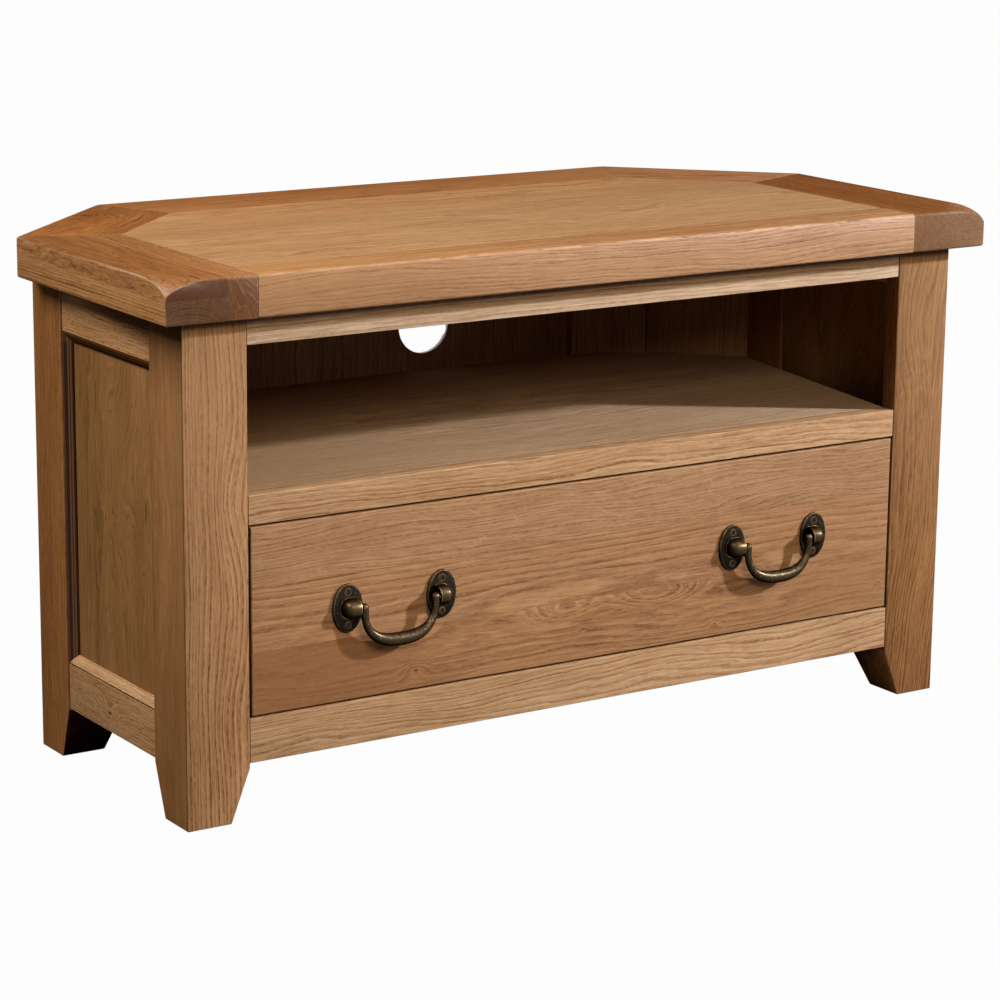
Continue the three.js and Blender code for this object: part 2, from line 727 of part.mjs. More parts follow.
function bail() {
  const path = [];
  for (let k = 1; k <= bossSteps; k++) {
    const angle = (Math.PI / 2) * k / (bossSteps + 1);
    path.push({ u: armHalf, z: bailBossRise * Math.cos(angle), radius: bailBossRadius * Math.sin(angle) });
  }
  for (let k = 0; k <= bailSteps / 2; k++) {
    const angle = (Math.PI / 2) * (k / (bailSteps / 2)) ** 0.8;
    const u = armHalf * Math.cos(angle) ** (2 / bailSquareness);
    const z = -bailDrop * Math.sin(angle) ** (2 / bailSquareness);
    const swell = (bailMiddleRadius - bailArmRadius) * Math.sin(angle) ** 3;
    const boss = (bailBossRadius - bailArmRadius) * Math.max(0, 1 + z / bailBossLength) ** 2;
    path.push({ u, z, radius: bailArmRadius + boss + swell });
  }
  const whole = [...path, ...path.slice(0, -1).reverse().map(({ u, z, radius }) => ({ u: -u, z, radius }))];
  const levels = whole.map(({ radius }, k) => ({ at: k, outline: ellipse(radius, radius, bailSides) }));
  const grip = loft(levels, (aside, out, k) => {
    const before = whole[Math.max(0, k - 1)];
    const after = whole[Math.min(whole.length - 1, k + 1)];
    const length = Math.hypot(after.u - before.u, after.z - before.z);
    const normal = [(after.z - before.z) / length, -(after.u - before.u) / length];
    const lean = bailLean * Math.min(0, whole[k].z) / bailDrop;
    return [whole[k].u + normal[0] * aside, out + lean, whole[k].z + normal[1] * aside];
  });
  return sides.reduce((body, [, sign]) => {
    const reach = [armHalf, pinInner + pinLength].map((u) => sign * u);
    const pin = prism(ellipse(pinRadius, pinRadius, roundSteps), reach, (y, z, u) => [u, y, z]);
    return body.add(solid(pin));
  }, solid(grip));
}

handleCentres.forEach((centre, h) => {
  const handle = sides[h][0];
  const fitting = new THREE.Group();
  fitting.position.set(centre, 0, handleHeight);
  drawer.add(fitting);
  for (const [side, sign] of sides) {
    const aside = sign * plateSpacing / 2;
    const plate = piece(fitting, `${handle}_handle_plate_${side}`, shaped(backplate(-sign)), antiqueBrass);
    plate.position.x = aside;
    [['lower', -1], ['upper', 1]].forEach(([place, up]) => {
      const screw = piece(fitting, `${handle}_handle_screw_${side}_${place}`, screwShape(0), screwSteel);
      screw.position.set(aside, plateFace, up * screwSpacing / 2);
    });
  }
  const hanging = piece(fitting, `${handle}_handle_bail`, shaped(bail()), antiqueBrass);
  hanging.position.y = pivotDepth;
});

const model = new THREE.Group();
model.add(cabinet);
export default model;
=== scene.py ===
import math

import bmesh
import bpy
import numpy as np
from mathutils import Euler, Matrix, Vector


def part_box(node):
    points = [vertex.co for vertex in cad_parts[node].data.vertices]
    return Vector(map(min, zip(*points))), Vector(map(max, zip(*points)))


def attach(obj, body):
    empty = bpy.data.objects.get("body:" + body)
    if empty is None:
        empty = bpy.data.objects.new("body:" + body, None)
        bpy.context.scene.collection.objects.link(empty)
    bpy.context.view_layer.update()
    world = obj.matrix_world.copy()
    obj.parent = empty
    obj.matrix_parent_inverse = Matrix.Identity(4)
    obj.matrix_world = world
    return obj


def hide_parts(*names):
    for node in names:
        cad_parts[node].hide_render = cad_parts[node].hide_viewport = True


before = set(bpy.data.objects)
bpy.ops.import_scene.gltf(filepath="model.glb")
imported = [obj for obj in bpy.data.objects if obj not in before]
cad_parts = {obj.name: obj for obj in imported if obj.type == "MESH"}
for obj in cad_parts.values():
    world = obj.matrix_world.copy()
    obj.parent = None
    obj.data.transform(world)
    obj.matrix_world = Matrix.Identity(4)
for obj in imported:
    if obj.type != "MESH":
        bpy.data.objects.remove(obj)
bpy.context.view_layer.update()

# Camera: stands to the left of the cabinet and a little above it, at the photograph's viewing angle. The
# long lens keeps the upright edges nearly parallel.
camera_place = Vector((-1.92792, -3.00322, 1.09481))
camera_turn = 0.57875
camera_tip = 0.23446
camera_roll = 0.01062
camera_lens = 115.13

forward = Vector((
    math.sin(camera_turn) * math.cos(camera_tip),
    math.cos(camera_turn) * math.cos(camera_tip),
    -math.sin(camera_tip),
))
level = Vector((math.cos(camera_turn), -math.sin(camera_turn), 0))
rise = level.cross(forward)
rightwards = level * math.cos(camera_roll) + rise * math.sin(camera_roll)
upwards = rise * math.cos(camera_roll) - level * math.sin(camera_roll)
camera = bpy.data.objects.new("camera", bpy.data.cameras.new("camera"))
bpy.context.scene.collection.objects.link(camera)
camera.data.sensor_width = 36
camera.data.lens = camera_lens
camera.matrix_world = Matrix((
    (rightwards.x, upwards.x, -forward.x, camera_place.x),
    (rightwards.y, upwards.y, -forward.y, camera_place.y),
    (rightwards.z, upwards.z, -forward.z, camera_place.z),
    (0, 0, 0, 1),
))
bpy.context.scene.camera = camera
bpy.context.scene.view_settings.view_transform = "Standard"

# Top: seven oak boards, a framed panel with mitred corners at the diagonals. The boards are glued up from
# staves, waxed, and worn pale along their edges.


def shade(red, green, blue):
    """Turns a colour as it is seen, from 0 to 255, into the linear values that a shader takes."""
    parts = [c / 255 for c in (red, green, blue)]
    return tuple(c / 12.92 if c <= 0.04045 else ((c + 0.055) / 1.055) ** 2.4 for c in parts) + (1,)


def node_maker(material):
    """Gives a function that adds one shader node, with its inputs set or linked by name or number."""
    tree = material.node_tree

    def add(kind, inputs, **settings):
        made = tree.nodes.new("ShaderNode" + kind)
        for key, value in settings.items():
            setattr(made, key, value)
        for key, value in inputs.items():
            if isinstance(value, bpy.types.NodeSocket):
                tree.links.new(value, made.inputs[key])
            else:
                made.inputs[key].default_value = value
        return made

    return add


def math_maker(add):
    """Gives a function for one sum on two sockets or numbers."""
    return lambda operation, a, b=0.0: add("Math", {0: a, 1: b}, operation=operation).outputs[0]


grain_turns = {
    "across": (0, 0, 0),
    "deep": (0, 0, -math.pi / 2),
    "upright": (0, math.pi / 2, 0),
}


def oak(name, grain, centre, pith, light, dark, ring=3.0, wave=6.0, rings=0.5, fibre=0.5, patch=0.4,
        pores=0.5, flecks=0.2, rays=2.4, curl=0.15, crackle=0.0, lean=(0, 0), knots=(), wear=0.35, gloss=0.2,
        seed=0.0, pale=(214, 170, 128), end=(100, 108, 140), fades=(), crown=None, profile=None):
    """Solid oak. The grain runs across, deep or upright, or at an angle from across, and leans by lean, in
    degrees. Rings are shells round the pith, a line along the grain, pith away from centre: a ring's number
    is the distance from it over ring. Slow noise bends them by wave, and quick noise by curl times that.
    Pores and fibres are noise drawn out along the grain, denser where a ring starts, and patches are slow
    noise. Flecks are rays, noise that is thin round the pith, as fine as rays says. A knot is a point, its
    reach, a height and how dark its heart is: it pushes the shells out by a bell-shaped bump. Crackle is
    thin pale lines aslant. A fade grows between two points to its share of a colour; some fades are painted
    shade, and some painted light. Crown, a painted highlight and wear, grows the same way to its share of
    speckled pale on the edge that is rounded over, where it tilts up and aside. Wear is the share of pale on
    sharp edges. Across the grain the wood takes more stain, which multiplies by end. A profile is a frame's
    two far corners and its pale stripes, painted highlights on its beads, each between two distances from
    the frame's outside. Gloss is the shine of what faces the front.
    Lengths are in millimetres, but points are in metres."""
    material = bpy.data.materials.new(name)
    material.use_nodes = True
    add = node_maker(material)
    maths = math_maker(add)
    place = add("TexCoord", {}).outputs["Object"]
    turn = grain_turns[grain] if isinstance(grain, str) else (0, 0, -math.radians(grain))
    turned = Euler((0, math.radians(lean[0]), math.radians(lean[1]))).to_matrix() @ Euler(turn).to_matrix()
    shift = -(turned @ Vector(centre)) * 1000 - Vector((0, pith[0], pith[1]))
    local = add("Mapping", {
        "Vector": place, "Location": shift, "Rotation": turned.to_euler(), "Scale": (1000, 1000, 1000),
    }).outputs[0]

    def noise(vector, scale, detail, offset):
        scaled = add("Mapping", {
            "Vector": vector, "Location": (seed + offset, seed * 1.7 - offset, offset), "Scale": scale,
        }).outputs[0]
        return add("TexNoise", {"Vector": scaled, "Scale": 1.0, "Detail": detail, "Roughness": 0.55})

    def bent(vector, by, amount):
        away = add("VectorMath", {0: by, 1: (0.5, 0.5, 0.5)}, operation="SUBTRACT").outputs[0]
        push = add("VectorMath", {0: away, 1: (0, 2 * amount, 2 * amount)}, operation="MULTIPLY").outputs[0]
        return add("VectorMath", {0: vector, 1: push}, operation="ADD").outputs[0]

    def step(value, low, high):
        return add("MapRange", {
            "Value": value, "From Min": low, "From Max": high,
        }, interpolation_type="SMOOTHSTEP").outputs[0]

    def toward(start, finish):
        line = Vector(finish) - Vector(start)
        line /= line.length_squared
        run = add("VectorMath", {0: place, 1: tuple(line)}, operation="DOT_PRODUCT").outputs["Value"]
        return step(run, line.dot(Vector(start)), line.dot(Vector(start)) + 1)

    # Bends of the grain, and the distance from the pith.
    slow = noise(local, (0.0028, 0.013, 0.013), 2.0, 3.1).outputs["Color"]
    quick = noise(local, (0.013, 0.06, 0.06), 2.0, 7.7).outputs["Color"]
    fine = noise(local, (0.07, 0.25, 0.25), 1.0, 4.4).outputs["Color"]
    wavy = bent(bent(bent(local, slow, wave * 2), quick, wave * curl), fine, 0.35)
    section = add("VectorMath", {0: wavy, 1: (0, 1, 1)}, operation="MULTIPLY").outputs[0]
    radius = add("VectorMath", {0: section}, operation="LENGTH").outputs["Value"]
    eyes = None
    for (x, y, z), reach, height, heart in knots:
        near = add("Mapping", {
            "Vector": place,
            "Location": (-x * 1000 / reach[0], -y * 1000 / reach[1], -z * 1000 / reach[2]),
            "Scale": (1000 / reach[0], 1000 / reach[1], 1000 / reach[2]),
        }).outputs[0]
        away = add("VectorMath", {0: bent(near, quick, 0.25)}, operation="LENGTH").outputs["Value"]
        bell = maths("EXPONENT", maths("MULTIPLY", maths("MULTIPLY", away, away), -1.0))
        radius = maths("ADD", radius, maths("MULTIPLY", bell, height))
        if heart:
            eye = maths("MULTIPLY", step(away, 0.24, 0.08), heart)
            eyes = eye if eyes is None else maths("MAXIMUM", eyes, eye)

    # Rings: early and late wood within each, and some rings stronger than others.
    drift = add("TexNoise", {"W": maths("MULTIPLY", radius, 0.04), "Scale": 1.0, "Detail": 1.0},
                noise_dimensions="1D").outputs[0]
    count = maths("ADD", maths("DIVIDE", radius, ring), maths("MULTIPLY", drift, 3.0))
    within = maths("FRACT", count)
    early = maths("MULTIPLY", maths("SUBTRACT", 1.0, step(within, 0.16, 0.6)), step(within, 0.0, 0.16))
    late = step(within, 0.72, 0.97)
    strong = add("TexNoise", {"W": maths("MULTIPLY", maths("FLOOR", count), 0.77), "Scale": 1.0},
                 noise_dimensions="1D").outputs[0]
    early = maths("MULTIPLY", early, step(strong, 0.2, 0.7))

    # Figure that follows the rings: fibres, pores, patches and rays.
    split = add("SeparateXYZ", {"Vector": wavy})
    along = split.outputs["X"]
    angle = maths("ARCTAN2", split.outputs["Z"], split.outputs["Y"])
    arc = maths("MULTIPLY", angle, 60.0)
    layered = add("CombineXYZ", {"X": along, "Y": radius, "Z": arc}).outputs[0]
    streak = noise(layered, (0.009, 0.55, 0.22), 3.0, 1.3).outputs[0]
    hair = noise(layered, (0.03, 1.0, 0.6), 2.0, 6.3).outputs[0]
    pore = step(noise(wavy, (0.13, 0.85, 0.85), 2.0, 5.5).outputs[0], 0.48, 0.6)
    pore = maths("MULTIPLY", pore, maths("ADD", 0.16, maths("MULTIPLY", early, 1.1)))
    patches = noise(local, (0.004, 0.022, 0.022), 3.0, 9.1).outputs[0]
    ray = step(noise(layered, (0.12, 0.05, rays), 1.0, 2.6).outputs[0], 0.57, 0.7)

    # How dark the wood is, from light at nought to dark at one.
    tone = maths("MULTIPLY", early, rings)
    tone = maths("SUBTRACT", tone, maths("MULTIPLY", late, rings * 0.45))
    tone = maths("ADD", tone, maths("MULTIPLY", maths("SUBTRACT", streak, 0.5), fibre * 2.6))
    tone = maths("ADD", tone, maths("MULTIPLY", maths("SUBTRACT", hair, 0.5), fibre * 3.8))
    tone = maths("ADD", tone, maths("MULTIPLY", maths("SUBTRACT", patches, 0.5), patch * 2.6))
    tone = maths("ADD", tone, 0.45 - rings * 0.15)
    tone = maths("MINIMUM", maths("MAXIMUM", tone, -0.5), 1.6)

    def mixed(share, a, b, **settings):
        return add("Mix", {0: share, 6: a, 7: b}, data_type="RGBA", **settings).outputs[2]

    colour = mixed(tone, shade(*light), shade(*dark), clamp_factor=False)
    colour = mixed(maths("MULTIPLY", pore, pores), colour, shade(*(c * 0.7 for c in dark)))
    if crackle:
        slanted = add("Mapping", {"Vector": local, "Rotation": (0, math.radians(-32), 0)}).outputs[0]
        lines = noise(slanted, (0.014, 0.12, 0.12), 1.0, 12.3).outputs[0]
        lines = step(maths("ABSOLUTE", maths("SUBTRACT", lines, 0.5)), 0.013, 0.0)
        gathered = step(noise(local, (0.02, 0.04, 0.04), 2.0, 14.2).outputs[0], 0.48, 0.6)
        lines = maths("MULTIPLY", lines, gathered)
        colour = mixed(maths("MULTIPLY", lines, crackle), colour, shade(*pale))
    for start, finish, share, tint in fades:
        colour = mixed(maths("MULTIPLY", toward(start, finish), share), colour, shade(*tint))
    if eyes is not None:
        colour = mixed(eyes, colour, shade(*(c * 0.42 for c in dark)))

    # End grain, and what lies on the wood's own colour.
    plain = add("NewGeometry", {}).outputs["True Normal"]
    facing = add("VectorMath", {
        0: plain, 1: tuple(turned.transposed() @ Vector((1, 0, 0))),
    }, operation="DOT_PRODUCT").outputs["Value"]
    across = step(maths("ABSOLUTE", facing), 0.55, 0.85)
    colour = mixed(across, colour, tuple(c / 255 for c in end) + (1,), blend_type="MULTIPLY")
    pale_ray = mixed(across, shade(*(min(255, c * 1.08) for c in light)), shade(*(c * 0.92 for c in light)))
    colour = mixed(maths("MULTIPLY", ray, flecks), colour, pale_ray)
    if profile:
        low, high, stripes = profile
        where = add("SeparateXYZ", {"Vector": place}).outputs
        insets = []
        for axis in (1, 2):
            middle, half = (high[axis] + low[axis]) / 2, (high[axis] - low[axis]) / 2
            from_middle = maths("ABSOLUTE", maths("SUBTRACT", where[axis], middle))
            insets.append(maths("MULTIPLY", maths("SUBTRACT", half, from_middle), 1000))
        inset = maths("MINIMUM", *insets)
        blur = 0.3
        for start, finish in stripes:
            begun = step(inset, start - blur, start + blur)
            stripe = maths("MULTIPLY", begun, step(inset, finish + blur, finish - blur))
            colour = mixed(stripe, colour, shade(*pale))
    if wear:
        worn_width = 0.0022
        rounded = add("Bevel", {"Radius": worn_width}, samples=4).outputs[0]
        same = add("VectorMath", {0: rounded, 1: plain}, operation="DOT_PRODUCT").outputs["Value"]
        edge = step(maths("SUBTRACT", 1.0, same), 0.004, 0.12)
        worn_and_lit = step(noise(place, (45, 45, 45), 3.0, 2.2).outputs[0], 0.38, 0.62)
        colour = mixed(maths("MULTIPLY", maths("MULTIPLY", edge, worn_and_lit), wear), colour, shade(*pale))
    # Painted highlight and wear on the rounded-over edge: speckled pale where the face tilts up and aside.
    if crown:
        tilt = add("SeparateXYZ", {"Vector": add("NewGeometry", {}).outputs["Normal"]}).outputs
        rounded = maths("MULTIPLY", step(tilt["Z"], 0.15, 0.6), step(maths("ABSOLUTE", tilt["X"]), 0.2, 0.6))
        speckled = step(noise(place, (900, 900, 900), 2.0, 8.2).outputs[0], 0.3, 0.6)
        rounded = maths("MULTIPLY", rounded, speckled)
        rounded = maths("MULTIPLY", rounded, maths("MULTIPLY", toward(*crown[:2]), crown[2]))
        colour = mixed(rounded, colour, shade(*pale))

    # Wax: duller in the pores, and shining only on what faces the front.
    wax_roughness = 0.52
    rougher = maths("ADD", wax_roughness, maths("MULTIPLY", pore, 0.2))
    rougher = maths("ADD", rougher, maths("MULTIPLY", maths("SUBTRACT", streak, 0.5), 0.2))
    height = maths("SUBTRACT", maths("MULTIPLY", streak, 0.5), maths("MULTIPLY", pore, 1.0))
    height = maths("SUBTRACT", height, maths("MULTIPLY", early, 0.4))
    bump = add("Bump", {"Height": height, "Strength": 0.1, "Distance": 0.00015}).outputs[0]
    shader = material.node_tree.nodes["Principled BSDF"]
    material.node_tree.links.new(colour, shader.inputs["Base Color"])
    material.node_tree.links.new(rougher, shader.inputs["Roughness"])
    material.node_tree.links.new(bump, shader.inputs["Normal"])
    forwards = add("SeparateXYZ", {"Vector": plain}).outputs["Y"]
    sheen = maths("MULTIPLY", maths("MAXIMUM", maths("MULTIPLY", forwards, -1.0), 0.0), gloss)
    material.node_tree.links.new(sheen, shader.inputs["Specular IOR Level"])
    return material


def softened(node, body, edge, cuts=(), segments=3):
    """A copy of a CAD node with its doubles merged, cut into staves where asked, and its edges rounded."""
    same_point = 0.000004
    flat = math.radians(0.8)
    sharp = math.radians(38)
    shape = bmesh.new()
    shape.from_mesh(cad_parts[node].data)
    bmesh.ops.remove_doubles(shape, verts=shape.verts, dist=same_point)
    bmesh.ops.dissolve_limit(shape, angle_limit=flat, verts=shape.verts, edges=shape.edges)
    for place, normal in cuts:
        everything = shape.verts[:] + shape.edges[:] + shape.faces[:]
        bmesh.ops.bisect_plane(shape, geom=everything, plane_co=place, plane_no=normal, dist=0.000001)
    mesh = bpy.data.meshes.new(node + "_piece")
    shape.to_mesh(mesh)
    shape.free()
    mesh.polygons.foreach_set("use_smooth", [True] * len(mesh.polygons))
    piece = bpy.data.objects.new(node + "_piece", mesh)
    bpy.context.scene.collection.objects.link(piece)
    if edge:
        rounding = piece.modifiers.new("rounding", "BEVEL")
        rounding.width = edge
        rounding.segments = segments
        rounding.limit_method = "ANGLE"
        rounding.angle_limit = sharp
        rounding.harden_normals = True
    else:
        mesh.set_sharp_from_angle(angle=sharp)
    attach(piece, body)
    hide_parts(node)
    return piece


def finish_with(piece, materials, choose=None):
    """Gives a piece its materials. choose takes the faces' centres and gives each one's material number."""
    for material in materials:
        piece.data.materials.append(material)
    if choose:
        centres = np.empty(len(piece.data.polygons) * 3)
        piece.data.polygons.foreach_get("center", centres)
        piece.data.polygons.foreach_set("material_index", choose(centres.reshape(-1, 3)).astype(int))


upper_face = 0.5749
front_board = softened("top_front_board", "cabinet", 0.0006)
# The top face takes darker copies of the front face's colours, painted for the different light on each.
finish_with(front_board, [
    oak(f"oak_front_board_{face}", "across", (0, -0.227, 0.553), (60, -95), light, dark,
        gloss=0.45, ring=3.1, wave=7, curl=0.3, rings=0.52, patch=0.45, wear=0.7, seed=1.0,
        pale=(222, 188, 158), fades=[((0.0, 0, 0), (-0.42, 0, 0), 0.4, (176, 126, 78))])
    for face, light, dark in (
        ("front", (191, 143, 98), (153, 102, 62)),
        ("top", (180, 133, 90), (143, 94, 56)),
    )
], lambda c: c[:, 2] > upper_face)
back_board = softened("top_back_board", "cabinet", 0.0006)
finish_with(back_board, [oak(
    "oak_back_board", "across", (0, 0.208, 0.553), (-80, -60), (165, 111, 66), (126, 75, 40),
    ring=3.4, wave=8, rings=0.35, patch=0.5, seed=2.0,
    fades=[((0.0, 0, 0), (0.3, 0, 0), 0.25, (176, 124, 80))],
)])
panel_joints = (-0.055, 0.045)
centre_panel = softened(
    "top_centre_panel", "cabinet", 0.0005,
    [((0, at, 0), (0, 1, 0)) for at in panel_joints],
)
finish_with(centre_panel, [
    oak("oak_panel_near", "across", (0, -0.12, 0.564), (20, -140), (182, 140, 98), (153, 110, 71),
        ring=3.6, wave=7, rings=0.3, patch=0.35, fibre=0.4, seed=3.0),
    oak("oak_panel_middle", "across", (0, 0.0, 0.564), (-50, -90), (187, 144, 102), (156, 111, 72),
        ring=3.2, wave=10, rings=0.35, patch=0.35, fibre=0.4, seed=4.0),
    oak("oak_panel_far", "across", (0, 0.1, 0.564), (40, -110), (193, 146, 100), (162, 113, 73),
        ring=3.4, wave=9, rings=0.35, patch=0.35, fibre=0.4, seed=5.0),
], lambda c: (c[:, 1] > panel_joints[0]).astype(int) + (c[:, 1] > panel_joints[1]))

both_sides = (("left", -1), ("right", 1))
end_joint = -0.456
end_layer = 0.556
end_face = -0.5245
mitre_angle = 44.26
diagonal_looks = {
    "left": dict(light=(159, 104, 57), dark=(122, 72, 35),
                 knots=[((-0.397, 0.186, 0.575), (30, 22, 30), 16, 0.7)]),
    "right": dict(light=(168, 118, 79), dark=(131, 85, 51)),
}
for side, sign in both_sides:
    cuts = [((end_joint, 0, 0), (1, 0, 0)), ((0, 0, end_layer), (0, 0, 1))] if sign < 0 else []
    end_board = softened(f"top_end_board_{side}", "cabinet", 0.0008, cuts)
    if sign < 0:
        staves = [
            oak("oak_end_left_upper", "deep", (-0.49, -0.09, 0.57), (-10, -60), (155, 104, 60), (118, 73, 40),
                ring=2.6, wave=6, curl=0.5, rings=0.3, patch=0.6, seed=6.0, wear=0.8, pale=(212, 184, 156),
                # crown paints a highlight with wear on the rounded top edge, strongest at the front.
                end=(82, 68, 48), crown=((0, 0.0, 0), (0, -0.23, 0), 0.8)),
            oak("oak_end_left_lower", "deep", (-0.49, -0.09, 0.54), (10, -42), (192, 141, 91), (141, 95, 57),
                ring=2.7, wave=3, rings=0.65, pores=0.8, seed=7.0, wear=0.5, end=(72, 61, 60)),
            oak("oak_end_left_inner", "deep", (-0.44, -0.09, 0.553), (17, 38), (173, 119, 73), (133, 86, 49),
                ring=2.8, wave=5, rings=0.4, flecks=0.5, rays=0.5, seed=8.0, wear=0.5, end=(96, 79, 54)),
            oak("oak_end_left_outer", "deep", (-0.52, -0.09, 0.57), (-30, -20), (187, 137, 90), (139, 94, 56),
                ring=2.6, wave=6, curl=1.0, rings=0.3, patch=0.75, pores=0.7, flecks=0.5, seed=61.0, wear=0.8,
                pale=(222, 194, 164)),
        ]
        finish_with(end_board, staves, lambda c: np.where(
            c[:, 0] > end_joint, 2, np.where(c[:, 2] < end_layer, 1, np.where(c[:, 0] < end_face, 3, 0)),
        ))
    else:
        finish_with(end_board, [oak(
            "oak_end_right", "deep", (0.473, -0.09, 0.553), (-40, 70), (141, 89, 48), (106, 62, 31),
            ring=2.4, wave=6, rings=0.45, flecks=0.5, rays=0.8, seed=9.0, wear=0.6, end=(283, 370, 570),
        )])
    angle = 180 - mitre_angle if sign > 0 else mitre_angle
    diagonal = softened(f"top_diagonal_board_{side}", "cabinet", 0.0006)
    finish_with(diagonal, [oak(
        f"oak_diagonal_{side}", angle, (sign * 0.40, 0.136, 0.553), (20, -70), ring=2.8, wave=8, rings=0.45,
        patch=0.5, seed=10.0 + sign, wear=0.4, **diagonal_looks[side],
    )])

# Legs: square oak posts, rebated inside above the foot, with tapered feet. The front legs' face grain runs
# straight up on the left one and aslant on the right one. The feet, the flanks and the inside faces lie in
# the shade, and their colours are painted darker for it; the front faces are painted paler toward the top,
# where more light falls, and darker just under the top, for its shade.
outer_face = 0.4944
inner_face = 0.4325
leg_aside = 0.4585
foot_top, foot_sole, foot_outside, foot_rear = 0.08, 0.001, 0.49, 0.1
# Painted shade: a dark band just under the top, where its overhang shades the front legs.
painted_shade_under_top = ((0, 0, 0.5195), (0, 0, 0.5245), 0.6, (52, 32, 20))
# The front faces are painted paler toward the top, as painted light where more of it falls.
front_leg_looks = {
    "left": dict(
        light=(181, 135, 91), dark=(132, 87, 50), wave=5, rings=0.55, pores=0.9, fibre=0.42, patch=0.4,
        lean=(0, 0), fades=[((0, 0, 0.08), (0, 0, 0.5), 0.22, (206, 160, 116)), painted_shade_under_top],
        knots=[
            ((-0.437, -0.232, 0.44), (30, 40, 60), 5, 0),
            ((-0.443, -0.232, 0.34), (26, 40, 40), -5, 0),
            ((-0.437, -0.232, 0.25), (26, 40, 50), 4, 0),
            ((-0.446, -0.232, 0.12), (24, 40, 50), -4, 0),
        ],
    ),
    "right": dict(
        light=(152, 104, 60), dark=(110, 67, 34), wave=8, rings=0.6, pores=0.6, fibre=0.85, patch=0.65,
        lean=(-6, 2.5), fades=[((0, 0, 0.08), (0, 0, 0.5), 0.22, (230, 181, 131)), painted_shade_under_top],
        knots=[
            ((0.452, -0.232, 0.44), (24, 40, 70), 11, 0),
            ((0.470, -0.232, 0.20), (26, 40, 60), -6, 0),
        ],
    ),
}
hidden_tones = ((168, 120, 78), (124, 80, 46))
for side, sign in both_sides:
    leg = softened(f"front_leg_{side}", "cabinet", 0.0014)
    finish_with(leg, [
        oak(f"oak_front_leg_{side}", "upright", (sign * leg_aside, -0.197, 0.27), (-70, 60 * sign),
            ring=4.1, seed=13.0 + sign, wear=0.45, gloss=0.08, **front_leg_looks[side]),
        oak(f"oak_front_leg_flank_{side}", "upright", (sign * leg_aside, -0.197, 0.27), (30, -90),
            (174, 127, 83), (135, 90, 53), ring=5.0, wave=7, rings=0.2, fibre=0.35, pores=0.2, patch=0.5,
            seed=53.0 + sign, wear=0.0, fades=[
                # Painted shade: the flank darkens just under the top. It also greys toward its front edge,
                # darkens toward the foot, and has a dark line at its front corner.
                ((0, -0.18, 0), (0, -0.225, 0), 0.4, (128, 98, 64)),
                ((0, 0, 0.36), (0, 0, 0.12), 0.4, (118, 78, 42)),
                ((0, 0, 0.44), (0, 0, 0.51), 0.6, (70, 42, 24)),
                ((0, -0.2295, 0), (0, -0.2325, 0), 0.8, (52, 34, 22)),
            ]),
        # The inside faces are painted dark, for the shade inside the cabinet.
        oak(f"oak_front_leg_inside_{side}", "upright", (sign * 0.43, -0.197, 0.27), (30, -90),
            (122, 80, 47), (94, 58, 32), rings=0.3, seed=55.0 + sign, wear=0.0, gloss=0.0),
    ], lambda c: np.where(sign * c[:, 0] > outer_face, 1, np.where(sign * c[:, 0] < inner_face, 2, 0)))
    leg = softened(f"side_leg_{side}", "cabinet", 0.0014)
    finish_with(leg, [
        oak(f"oak_side_leg_{side}", "upright", (sign * leg_aside, 0.079, 0.27), (60, -50 * sign),
            (154, 106, 63), (117, 73, 38), ring=3.6, wave=5, rings=0.35, seed=16.0 + sign, wear=0.3),
        # The feet are painted dark, for the shade they lie in, and darker still toward the floor.
        oak(f"oak_side_foot_{side}", "upright", (sign * leg_aside, 0.079, 0.03), (60, -50 * sign),
            (84, 48, 26), (56, 31, 17), rings=0.3, seed=57.0 + sign, wear=0.0, gloss=0.0,
            fades=[((0, 0, 0.05), (0, 0, 0.0), 0.75, (24, 13, 8))]),
    ], lambda c: (c[:, 2] < foot_top) & (c[:, 2] > foot_sole)
        & (sign * c[:, 0] < foot_outside) & (c[:, 1] < foot_rear))
    post = softened(f"back_post_{side}", "cabinet", 0.0012)
    finish_with(post, [oak(
        f"oak_back_post_{side}", "upright", (sign * 0.34, 0.24, 0.27), (50, 60 * sign), *hidden_tones,
        ring=3.2, wave=5, rings=0.4, seed=19.0 + sign, wear=0.2,
    )])
